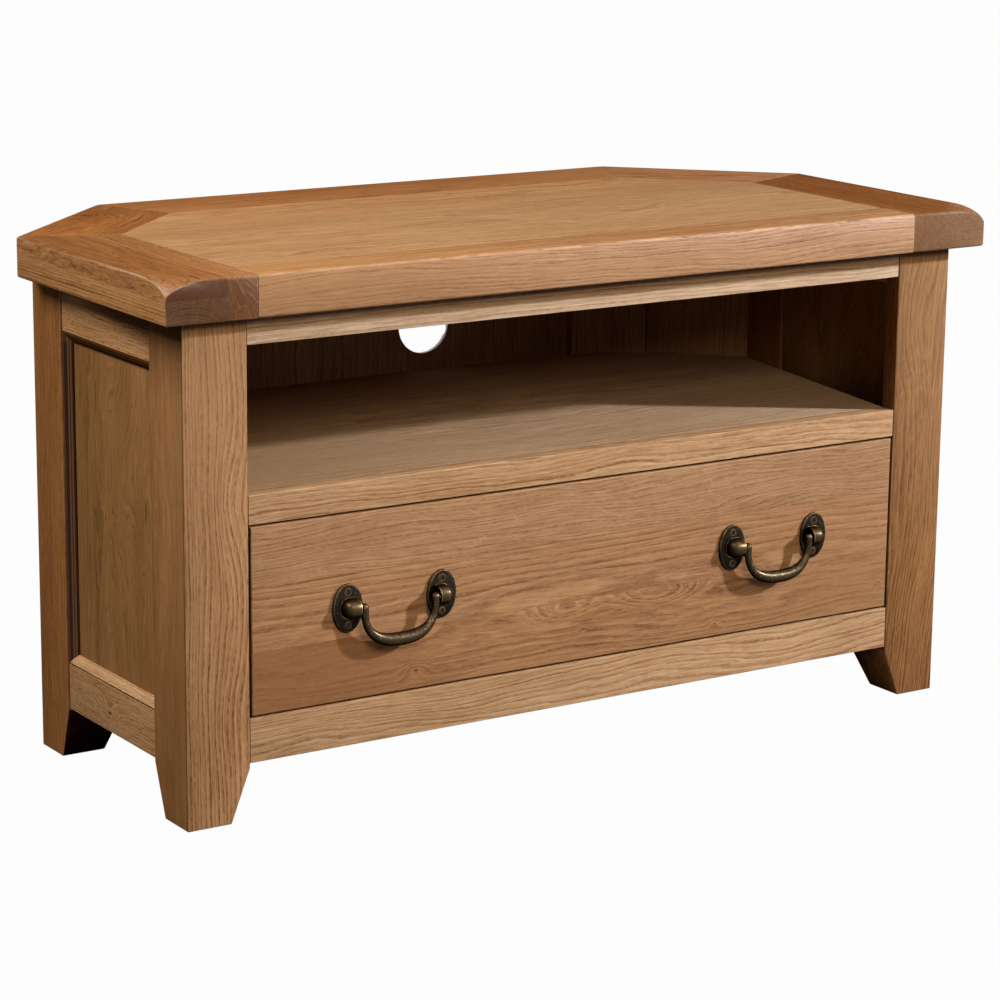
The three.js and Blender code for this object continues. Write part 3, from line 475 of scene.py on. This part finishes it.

# Sides: mortised rails and a sunk panel, with a scotia-and-bead moulding pinned round it. The moulding is
# painted dark for the shade it lies in, with pale stripes painted on as highlights on its beads, and its top
# strip painted a little lighter. The strip of moulding on the bottom rail catches the light and is painted
# as a pale lit copy of the same oak.
panel_face = 0.4844
moulding_foot = 0.2
# Pale stripes, painted highlights on the moulding's beads, in millimetres from its outside.
moulding_stripes = ((0.6, 1.7), (5.7, 6.7), (7.5, 8.5))
for side, sign in both_sides:
    for rail, middle_height, light, dark, knots in (
        ("top", 0.504, (206, 158, 110), (164, 118, 76), []),
        ("bottom", 0.085, (192, 149, 108), (149, 107, 70),
         [((sign * 0.493, -0.0535, 0.081), (22, 22, 14), 9, 0.8)]),
    ):
        piece = softened(f"side_{rail}_rail_{side}", "cabinet", 0.0008)
        finish_with(piece, [oak(
            f"oak_side_{rail}_rail_{side}", "deep", (sign * 0.483, -0.057, middle_height), (40 * sign, -60),
            light, dark, ring=2.6, wave=5, curl=0.3, rings=0.2, pores=0.8, knots=knots, seed=22.0 + sign,
            # Painted shadow of the top's overhang: the rail darkens toward its upper edge, reaching lower
            # toward the front. It stays above the bottom rail.
            wear=0.4, fades=[((0, -0.06, 0.4965), (0, -0.0642, 0.5225), 0.7, (58, 34, 18))],
        )])
    panel = softened(f"side_panel_{side}", "cabinet", 0.0003)
    figure = [
        ((sign * panel_face, -0.075, 0.342), (34, 34, 90), 26, 0),
        ((sign * panel_face, -0.128, 0.315), (15, 15, 60), 14, 0.45),
        ((sign * panel_face, -0.050, 0.407), (6, 6, 10), 3, 0.8),
    ]
    finish_with(panel, [oak(
        f"oak_side_panel_{side}", "upright", (sign * 0.48, -0.06, 0.29), (20, 55 * sign), (156, 114, 71),
        (117, 80, 46), ring=4.0, wave=9, curl=0.7, rings=0.32, fibre=0.26, pores=0.3, patch=0.7, knots=figure,
        seed=25.0 + sign, wear=0.0,
    )])
    moulding = softened(f"side_moulding_{side}", "cabinet", 0.0004, segments=2)
    corners = np.array([point.co for point in moulding.data.vertices])
    finish_with(moulding, [
        # A shaded copy: the moulding is painted dark for its shade, its top strip a little paler as painted
        # light, and its stripes pale as painted highlights.
        oak(f"oak_side_moulding_{side}", "upright", (sign * 0.489, -0.06, 0.29), (20, 30 * sign),
            (46, 23, 12), (28, 13, 7), ring=2.4, wave=4, rings=0.4, flecks=0.0, seed=28.0 + sign, wear=0.0,
            pale=(108, 68, 38), fades=[((0, 0, 0.462), (0, 0, 0.47), 0.25, (128, 84, 50))],
            profile=(corners.min(0), corners.max(0), moulding_stripes)),
        # A lit copy: the strip on the bottom rail, which faces up into the light, is painted pale.
        oak(f"oak_side_moulding_low_{side}", "deep", (sign * 0.489, -0.06, 0.12), (20, 30 * sign),
            (216, 175, 134), (170, 129, 90), ring=2.4, wave=4, rings=0.5, seed=60.0 + sign, wear=0.3,
            knots=[((sign * 0.49, -0.0735, 0.124), (15, 9, 15), 5, 0.8)]),
    ], lambda c: c[:, 2] < moulding_foot)

# Front rails: the palest oak of the cabinet, fixed between the front legs. One lies under the top, one is
# the strip on the edge of the shelf, and one lies under the drawer.
for node, middle_height, pith, light, dark, seed, wave in (
    ("front_top_rail", 0.515, (60, 90), (214, 181, 146), (172, 135, 99), 31.0, 5),
    ("shelf_front_strip", 0.330, (40, -55), (205, 162, 119), (162, 115, 74), 32.0, 9),
    ("front_bottom_rail", 0.086, (30, -45), (202, 159, 116), (158, 115, 76), 33.0, 9),
):
    rail = softened(node, "cabinet", 0.0009)
    finish_with(rail, [oak(
        f"oak_{node}", "across", (0, -0.222, middle_height), pith, light, dark,
        gloss=0.1, ring=3.7, wave=wave, curl=0.22, rings=0.6, fibre=0.5, patch=0.55, seed=seed, wear=0.4,
        pale=(232, 198, 156), fades=[
            # Painted shade under the top: the rail darkens toward its upper edge, most just under the top. It
            # stays above the shelf strip and the bottom rail.
            ((0, 0, 0.509), (0, 0, 0.517), 0.3, (150, 95, 50)),
            ((0, 0, 0.5205), (0, 0, 0.5245), 0.6, (78, 46, 22)),
        ],
    )])

# Shelf: one wide oak board, smooth as veneer. It lies on the drawer's two kickers and, at the back, on a
# batten.
shelf = softened("shelf_board", "cabinet", 0.0006)
finish_with(shelf, [oak(
    "oak_shelf", "across", (0, 0.0, 0.336), (30, -160), (190, 156, 120), (155, 120, 86),
    ring=4.2, wave=9, rings=0.35, patch=0.4, seed=34.0, wear=0.2,
    fades=[((0.0, 0, 0), (-0.42, 0, 0), 0.75, (158, 123, 87)),
           ((0.1, 0, 0), (0.44, 0, 0), 0.3, (206, 172, 138))],
)])
batten = softened("shelf_back_batten", "cabinet", 0.0006)
finish_with(batten, [oak(
    "oak_batten", "across", (0, 0.23, 0.318), (30, -60), *hidden_tones, seed=35.0, wear=0.0,
)])

# Back: two rails, a panel with the hole for cables, and a panel on each diagonal. The hole's rim is painted
# near white, under a strong coat that mirrors the white around it, as painted light that reads as the bright
# background seen through the hole.
hole_aside, hole_height = 0.0795, 0.4
hole_reach = 0.09
rim_half_width = 0.0025


def on_hole_rim(centres):
    """Picks the faces round the hole, which lie between the flat faces of the panel."""
    near = np.hypot(centres[:, 0] - hole_aside, centres[:, 2] - hole_height) < hole_reach
    depth = centres[:, 1] - np.ptp(centres[:, 1]) / 2 - centres[:, 1].min()
    return near & (np.abs(depth) < rim_half_width)


for node, height, seed in (("back_top_rail", 0.504, 36.0), ("back_bottom_rail", 0.086, 37.0)):
    rail = softened(node, "cabinet", 0.0008)
    finish_with(rail, [oak(
        f"oak_{node}", "across", (0, 0.243, height), (50, -60), *hidden_tones, seed=seed, wear=0.2,
    )])
for node, centre, seed in (
    ("back_panel", (0, 0.248, 0.29), 38.0),
    ("diagonal_panel_left", (-0.43, 0.16, 0.3), 39.0),
    ("diagonal_panel_right", (0.43, 0.16, 0.3), 40.0),
):
    panel = softened(node, "cabinet", 0.0005, segments=2)
    finishes = [oak(
        f"oak_{node}", "upright", centre, (60, 60), (160, 114, 72), (118, 78, 44),
        ring=4.0, wave=10, rings=0.45, seed=seed, wear=0.0,
    )]
    if node == "back_panel":
        # Painted light: the rim is near white, and its coat mirrors the white around it.
        finishes.append(oak(
            "oak_hole_rim", "across", centre, (60, 60), (246, 236, 220), (232, 214, 190), seed=62.0, wear=0.0,
            end=(255, 255, 255),
        ))
        rim_coat = finishes[1].node_tree.nodes["Principled BSDF"].inputs
        rim_coat["Coat Weight"].default_value = 1.0
        rim_coat["Coat IOR"].default_value = 2.0
        finish_with(panel, finishes, on_hole_rim)
    else:
        finish_with(panel, finishes)

# What the drawer runs on: plain planed strips. It slides on two runners, between two guides and under two
# kickers, and a stop ends its run.
plain_strip = oak(
    "plain_strip", "deep", (0, 0, 0.2), (60, -50), (206, 172, 124), (170, 134, 88),
    rings=0.4, seed=41.0, wear=0.0,
)
for node in ("drawer_runner_left", "drawer_runner_right", "drawer_guide_left", "drawer_guide_right",
             "drawer_kicker_left", "drawer_kicker_right", "drawer_stop"):
    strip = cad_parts[node]
    strip.data.materials.clear()
    strip.data.materials.append(plain_strip)

# Drawer: an oak front glued up from three staves, on a plain planed box with a grooved-in bottom. The low
# stave has swirls and small eyes in its figure, and the high one fine pale scratches.
front_depth = -0.2335
front_joints = (0.180, 0.2495)
front = softened(
    "drawer_front", "drawer", 0.0,
    [((0, 0, at), (0, 0, 1)) for at in front_joints],
)
finish_with(front, [
    oak("oak_drawer_low", "across", (0, front_depth, 0.146), (70, 18), (189, 138, 92), (134, 87, 51),
        ring=2.6, wave=6, curl=0.25, rings=0.42, fibre=0.42, patch=0.4, seed=42.0, wear=0.5,
        fades=[
            ((-0.08, 0, 0), (-0.36, 0, 0), 0.7, (140, 92, 53)),
            ((0.10, 0, 0), (0.38, 0, 0), 0.5, (150, 103, 63)),
        ],
        knots=[
            ((0.0924, front_depth, 0.1755), (52, 40, 15), 13, 0),
            ((-0.033, front_depth, 0.174), (38, 40, 12), 9, 0),
            ((-0.2222, front_depth, 0.1321), (14, 16, 8), 6, 0.8),
            ((0.171, front_depth, 0.127), (8, 10, 5), 3, 0.9),
            ((-0.008, front_depth, 0.146), (6, 10, 5), 2, 0.9),
            ((0.4065, front_depth, 0.1428), (7, 7, 6), 3, 0.8),
        ]),
    oak("oak_drawer_middle", "across", (0, front_depth, 0.215), (90, -30), (188, 139, 95), (138, 91, 54),
        ring=3.9, wave=3, curl=0.1, rings=0.45, fibre=0.42, patch=0.25, seed=43.0, wear=0.5,
        fades=[((0.05, 0, 0), (0.45, 0, 0), 0.3, (158, 110, 68))]),
    oak("oak_drawer_high", "across", (0, front_depth, 0.281), (60, 60), (184, 138, 96), (138, 96, 60),
        ring=2.8, wave=9, rings=0.35, fibre=0.4, patch=0.4, crackle=0.22, seed=44.0, wear=0.7,
        pale=(222, 182, 142)),
], lambda c: (c[:, 2] > front_joints[0]).astype(int) + (c[:, 2] > front_joints[1]))
for node, grain in (("drawer_side_left", "deep"), ("drawer_side_right", "deep"), ("drawer_back", "across"),
                    ("drawer_bottom", "across")):
    board = softened(node, "drawer", 0.0006, segments=2)
    finish_with(board, [oak(
        f"plain_{node}", grain, tuple(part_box(node)[0]), (60, -40), (208, 172, 122), (172, 134, 86),
        ring=3.2, rings=0.45, seed=45.0, wear=0.0,
    )])

# Handles: cast brass with a dark patina, worn golden on the rims and the grip, with painted light on what
# faces up and to the right and painted shade on what faces down. Each bail turns on pins in the hoods of its
# two plates, and each plate is fixed with two rusty countersunk screws.
handle_height = 0.2124
handle_aside = 0.2495
plate_aside = 0.0575
pivot_depth = -0.246
plate_face = -0.2368
boss_radius, arm_radius, grip_radius = 0.0046, 0.0039, 0.00725
boss_rise, boss_length = 0.0058, 0.016
arm_half, grip_drop, grip_lean, squareness = 0.0434, 0.038, 0.0015, 2.6
pin_radius, pin_end = 0.0026, 0.0545
cap_rings, grip_rings, grip_sides, pin_sides = 8, 44, 36, 24
screw_aside, screw_radius, screw_depth, head_dome = 0.018, 0.0037, 0.0021, 0.0004
shank_radius, shank_length, point_length = 0.0019, 0.016, 0.004
slot_half_width, slot_half_length, slot_depth, slot_blur = 0.0004, 0.0021, 0.0013, 0.0003
face_rings, screw_sides = 22, 72


def patina(name, dark, bright, rough, spots, handled=0.0, seed=0.0):
    """Aged brass: dark tones in a fine mottle, with bright metal where an edge sticks out and in spots. What
    looks up and to the viewer's right is painted brighter, and what looks down painted darker, as painted
    light and shade. With handled, bright metal also shows, by that share, where it stands proud of the
    plate, and painted shade darkens what is low."""
    material = bpy.data.materials.new(name)
    material.use_nodes = True
    add = node_maker(material)
    maths = math_maker(add)
    place = add("TexCoord", {}).outputs["Object"]
    mottle = add("TexNoise", {"Vector": place, "Scale": 420.0, "Detail": 4.0, "W": seed},
                 noise_dimensions="4D").outputs[0]
    cloud = add("TexNoise", {"Vector": place, "Scale": 70.0, "Detail": 3.0, "W": seed + 3},
                noise_dimensions="4D").outputs[0]
    rounded = add("Bevel", {"Radius": 0.0016}, samples=6).outputs[0]
    plain = add("NewGeometry", {}).outputs["Normal"]
    same = add("VectorMath", {0: rounded, 1: plain}, operation="DOT_PRODUCT").outputs["Value"]
    turned_away = maths("SUBTRACT", 1.0, same)
    edge = add("MapRange", {"Value": turned_away, "From Min": 0.01, "From Max": 0.16}).outputs[0]
    worn = add("MapRange", {"Value": cloud, "From Min": 0.32, "From Max": 0.56}).outputs[0]
    worn = maths("MULTIPLY", edge, worn)
    speck = add("MapRange", {"Value": mottle, "From Min": 0.55, "From Max": 0.75}).outputs[0]
    share = maths("ADD", worn, maths("MULTIPLY", speck, spots))
    # Painted light and shade: faces turned up and to the viewer's right are brightened, faces turned down
    # darkened.
    worn_and_lit = add("VectorMath", {0: plain, 1: (0.35, -0.35, 0.85)}, operation="DOT_PRODUCT").outputs["Value"]
    worn_and_lit = add("MapRange", {
        "Value": worn_and_lit, "From Min": -0.5, "From Max": 1.0, "To Min": 0.2, "To Max": 2.3,
    }, interpolation_type="SMOOTHSTEP").outputs[0]
    if handled:
        where = add("SeparateXYZ", {"Vector": place}).outputs
        proud = add("MapRange", {
            "Value": where["Y"], "From Min": plate_face - 0.002, "From Max": plate_face - 0.010,
        }).outputs[0]
        share = maths("ADD", share, maths("MULTIPLY", proud, handled))
        # Painted shade: the plate darkens toward the bottom, down to half, below the hood.
        painted_shade_low = add("MapRange", {
            "Value": where["Z"], "From Min": handle_height - 0.02, "From Max": handle_height + 0.01,
            "To Min": 0.5,
        }).outputs[0]
        worn_and_lit = maths("MULTIPLY", worn_and_lit, painted_shade_low)
    share = maths("MINIMUM", share, 1.0)
    colour = add("Mix", {0: share, 6: shade(*dark), 7: shade(*bright)}, data_type="RGBA").outputs[2]
    colour = add("VectorMath", {0: colour, 1: worn_and_lit}, operation="MULTIPLY").outputs[0]
    rougher = maths("ADD", rough, maths("MULTIPLY", maths("SUBTRACT", mottle, 0.5), 0.3))
    bump = add("Bump", {"Height": mottle, "Strength": 0.35, "Distance": 0.0002}).outputs[0]
    shader = material.node_tree.nodes["Principled BSDF"]
    material.node_tree.links.new(colour, shader.inputs["Base Color"])
    material.node_tree.links.new(rougher, shader.inputs["Roughness"])
    material.node_tree.links.new(bump, shader.inputs["Normal"])
    shader.inputs["Metallic"].default_value = 1.0
    shader.inputs["Specular Tint"].default_value = (0.5, 0.44, 0.38, 1)
    return material


plate_finish = patina("dark_brass_plate", (34, 29, 25), (182, 146, 90), 0.38, 0.1, handled=0.07)
bail_finish = patina("dark_brass_bail", (50, 41, 30), (190, 160, 112), 0.36, 0.22, seed=5.0)
screw_finish = patina("rusty_screw", (40, 29, 22), (92, 70, 50), 0.5, 0.2, seed=9.0)


def ring_faces(rings, sides):
    """Four-sided faces between rings of points that follow each other, each ring closed on itself."""
    row, column = np.meshgrid(np.arange(rings - 1), np.arange(sides), indexing="ij")
    after = (column + 1) % sides
    return np.stack([
        row * sides + column, row * sides + after, (row + 1) * sides + after, (row + 1) * sides + column,
    ], -1).reshape(-1, 4)


def closed_tube(centres, sides, outs, ups):
    """Rings of points round a path, closed at both ends. A ring's point at angle a is the centre plus out
    times the sine of a plus up times its cosine; rings of no size make the poles."""
    angles = np.linspace(0, 2 * np.pi, sides, endpoint=False)[None, :, None]
    points = centres[:, None] + outs[:, None] * np.sin(angles) + ups[:, None] * np.cos(angles)
    return points.reshape(-1, 3), ring_faces(len(centres), sides)


def joined_shells(name, shells, body, node, material):
    """One piece made of closed shells, with the points that meet at a pole made one."""
    same_point = 0.00001
    sharp = math.radians(50)
    offsets = np.cumsum([0] + [len(points) for points, _ in shells])
    mesh = bpy.data.meshes.new(name)
    mesh.from_pydata(
        np.concatenate([points for points, _ in shells]).tolist(), [],
        np.concatenate([faces + offset for (_, faces), offset in zip(shells, offsets)]).tolist(),
    )
    shape = bmesh.new()
    shape.from_mesh(mesh)
    bmesh.ops.remove_doubles(shape, verts=shape.verts, dist=same_point)
    bmesh.ops.recalc_face_normals(shape, faces=shape.faces)
    shape.to_mesh(mesh)
    shape.free()
    mesh.polygons.foreach_set("use_smooth", [True] * len(mesh.polygons))
    mesh.set_sharp_from_angle(angle=sharp)
    mesh.materials.append(material)
    piece = bpy.data.objects.new(name, mesh)
    bpy.context.scene.collection.objects.link(piece)
    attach(piece, body)
    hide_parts(node)
    return piece


def bail_shells(aside):
    """The grip's middle line is a rounded U, |x/half|^n + |z/drop|^n = 1, that leans out as it drops, between
    two half-round bosses. Its radius shrinks from the boss to the arm with the square of the height, and
    swells to the grip with the cube of the sine. A pin runs from each boss into its hood."""
    cap = np.linspace(0, np.pi / 2, cap_rings)[:-1]
    turn = np.pi / 2 * np.linspace(0, 1, grip_rings) ** 0.8
    across = arm_half * np.cos(turn).clip(0) ** (2 / squareness)
    down = -grip_drop * np.sin(turn) ** (2 / squareness)
    boss = (boss_radius - arm_radius) * (1 + down / boss_length).clip(0) ** 2
    swell = (grip_radius - arm_radius) * np.sin(turn) ** 3
    x = np.concatenate([np.full(len(cap), arm_half), across])
    z = np.concatenate([boss_rise * np.cos(cap), down])
    radius = np.concatenate([boss_radius * np.sin(cap), arm_radius + boss + swell])
    x = np.concatenate([x, -x[-2::-1]])
    z = np.concatenate([z, z[-2::-1]])
    radius = np.concatenate([radius, radius[-2::-1]])
    lean = grip_lean * np.minimum(z, 0) / grip_drop
    centres = np.stack([aside + x, pivot_depth + lean, handle_height + z], -1)
    along = np.gradient(centres, axis=0)
    along /= np.linalg.norm(along, axis=1, keepdims=True)
    forwards = np.broadcast_to((0.0, 1.0, 0.0), along.shape)
    sideways = np.cross(along, forwards)
    shells = [closed_tube(centres, grip_sides, forwards * radius[:, None], sideways * radius[:, None])]
    for sign in (-1, 1):
        pin_x = aside + sign * np.array([arm_half, arm_half, pin_end, pin_end])
        pin_size = pin_radius * np.array([0, 1, 1, 0])[:, None]
        places = np.stack([pin_x, np.full(4, pivot_depth), np.full(4, handle_height)], -1)
        outs, ups = pin_size * np.array([[0, 1, 0]]), pin_size * np.array([[0, 0, 1]])
        shells.append(closed_tube(places, pin_sides, outs, ups))
    return shells


def screw_shell(x, z, turned):
    """A countersunk screw about the depth axis. The head's face is a low dome, less a cross of two slots
    that are cut with smooth steps; then the cone, the shank and its point."""
    face = np.linspace(0, 1, face_rings) ** 0.9
    reach = np.concatenate([screw_radius * face, [shank_radius, shank_radius, 0]])
    dome = -head_dome * (1 - face ** 2)
    depth = np.concatenate([dome, [screw_depth, shank_length - point_length, shank_length]])
    angle = np.linspace(0, 2 * np.pi, screw_sides, endpoint=False)
    across = np.abs(reach[:, None] * np.cos(angle + turned))
    along = np.abs(reach[:, None] * np.sin(angle + turned))

    def within(value, limit):
        return (1 - (value - limit) / slot_blur).clip(0, 1)

    one_slot = within(across, slot_half_width) * within(along, slot_half_length)
    other_slot = within(along, slot_half_width) * within(across, slot_half_length)
    cross = np.maximum(one_slot, other_slot)
    cross[len(face):] = 0
    points = np.stack([
        x + reach[:, None] * np.cos(angle),
        plate_face + depth[:, None] + slot_depth * cross,
        z + reach[:, None] * np.sin(angle),
    ], -1).reshape(-1, 3)
    return points, ring_faces(len(reach), len(angle))


screw_turns = iter((0.3, 0.9, 0.1, 0.5, 0.7, 0.2, 0.95, 0.45))
for handle, aside in (("left", -handle_aside), ("right", handle_aside)):
    for side, sign in both_sides:
        plate = softened(f"{handle}_handle_plate_{side}", "drawer", 0.0007)
        finish_with(plate, [plate_finish])
        for place, up in (("lower", -screw_aside), ("upper", screw_aside)):
            node = f"{handle}_handle_screw_{side}_{place}"
            turned = next(screw_turns) * np.pi / 2
            shell = screw_shell(aside + sign * plate_aside, handle_height + up, turned)
            joined_shells(node + "_piece", [shell], "drawer", node, screw_finish)
    bail_node = f"{handle}_handle_bail"
    joined_shells(
        bail_node + "_piece", bail_shells(aside), f"{handle}_bail", bail_node, bail_finish,
    )

# Studio: a pale floor that runs out of sight, a small strong key from the right and front, soft fills from
# the front, the left and behind, and a faint sky. What the camera sees past the cabinet is white.


def seen_directly(add, maths):
    """One for what the camera sees, itself or in a gloss or through glass, and nought for other light."""
    rays = add("LightPath", {}).outputs
    seen = maths("MAXIMUM", rays["Is Camera Ray"], rays["Is Glossy Ray"])
    return maths("MAXIMUM", seen, rays["Is Transmission Ray"])


floor_size = 40.0
floor_whiteness = 0.982
floor_mesh = bpy.data.meshes.new("studio_floor")
floor_mesh.from_pydata(
    [(-floor_size, -floor_size, 0), (floor_size, -floor_size, 0), (floor_size, floor_size, 0),
     (-floor_size, floor_size, 0)], [], [(0, 1, 2, 3)],
)
studio_floor = bpy.data.objects.new("studio_floor", floor_mesh)
bpy.context.scene.collection.objects.link(studio_floor)
floor_paint = bpy.data.materials.new("floor_paint")
floor_paint.use_nodes = True
add = node_maker(floor_paint)
maths = math_maker(add)
matt = floor_paint.node_tree.nodes["Principled BSDF"]
matt.inputs["Base Color"].default_value = (0.06, 0.06, 0.06, 1)
matt.inputs["Roughness"].default_value = 0.9
matt.inputs["Specular IOR Level"].default_value = 0.0
white = add("Emission", {"Color": (1, 1, 1, 1), "Strength": 1.0})
share = maths("MULTIPLY", seen_directly(add, maths), floor_whiteness)
blend = add("MixShader", {0: share, 1: matt.outputs[0], 2: white.outputs[0]})
floor_paint.node_tree.links.new(blend.outputs[0], floor_paint.node_tree.nodes["Material Output"].inputs[0])
floor_mesh.materials.append(floor_paint)

for name, shape, place, aim, size, energy, colour in (
    ("key_light", "DISK", (5.65, -3.88, 3.35), (0, -0.2, 0.3), 0.44, 680, (0.8, 0.87, 1.0)),
    ("front_light", "SQUARE", (-0.4, -3.2, 1.95), (0, -0.2, 0.3), 1.0, 43, (1.0, 0.88, 0.72)),
    ("left_light", "SQUARE", (-2.9, -0.2, 3.0), (-0.4, 0, 0.3), 1.4, 111, (1.0, 0.94, 0.86)),
    ("back_light", "SQUARE", (-0.4, 3.3, 0.28), (0, 0.2, 0.3), 0.9, 42, (1.0, 0.95, 0.88)),
):
    light = bpy.data.objects.new(name, bpy.data.lights.new(name, "AREA"))
    light.data.shape = shape
    light.data.size = size
    light.data.energy = energy
    light.data.color = colour
    light.location = place
    light.rotation_mode = "QUATERNION"
    light.rotation_quaternion = (Vector(aim) - Vector(place)).to_track_quat("-Z", "Y")
    bpy.context.scene.collection.objects.link(light)

sky_all_round, sky_above, sky_in_front = 0.04, 0.15, 0.05
world = bpy.data.worlds.new("studio_world")
bpy.context.scene.world = world
world.use_nodes = True
add = node_maker(world)
maths = math_maker(add)
towards = add("SeparateXYZ", {"Vector": add("TexCoord", {}).outputs["Generated"]}).outputs
upward = maths("MAXIMUM", towards["Z"], 0.0)
frontward = maths("MAXIMUM", maths("MULTIPLY", towards["Y"], -1.0), 0.0)
sky = maths("ADD", sky_all_round, maths("MULTIPLY", upward, sky_above))
sky = maths("ADD", sky, maths("MULTIPLY", frontward, sky_in_front))
strength = add("Mix", {0: seen_directly(add, maths), 2: sky, 3: 1.0}, data_type="FLOAT").outputs[0]
world.node_tree.links.new(strength, world.node_tree.nodes["Background"].inputs["Strength"])
world.node_tree.nodes["Background"].inputs["Color"].default_value = (1, 1, 1, 1)
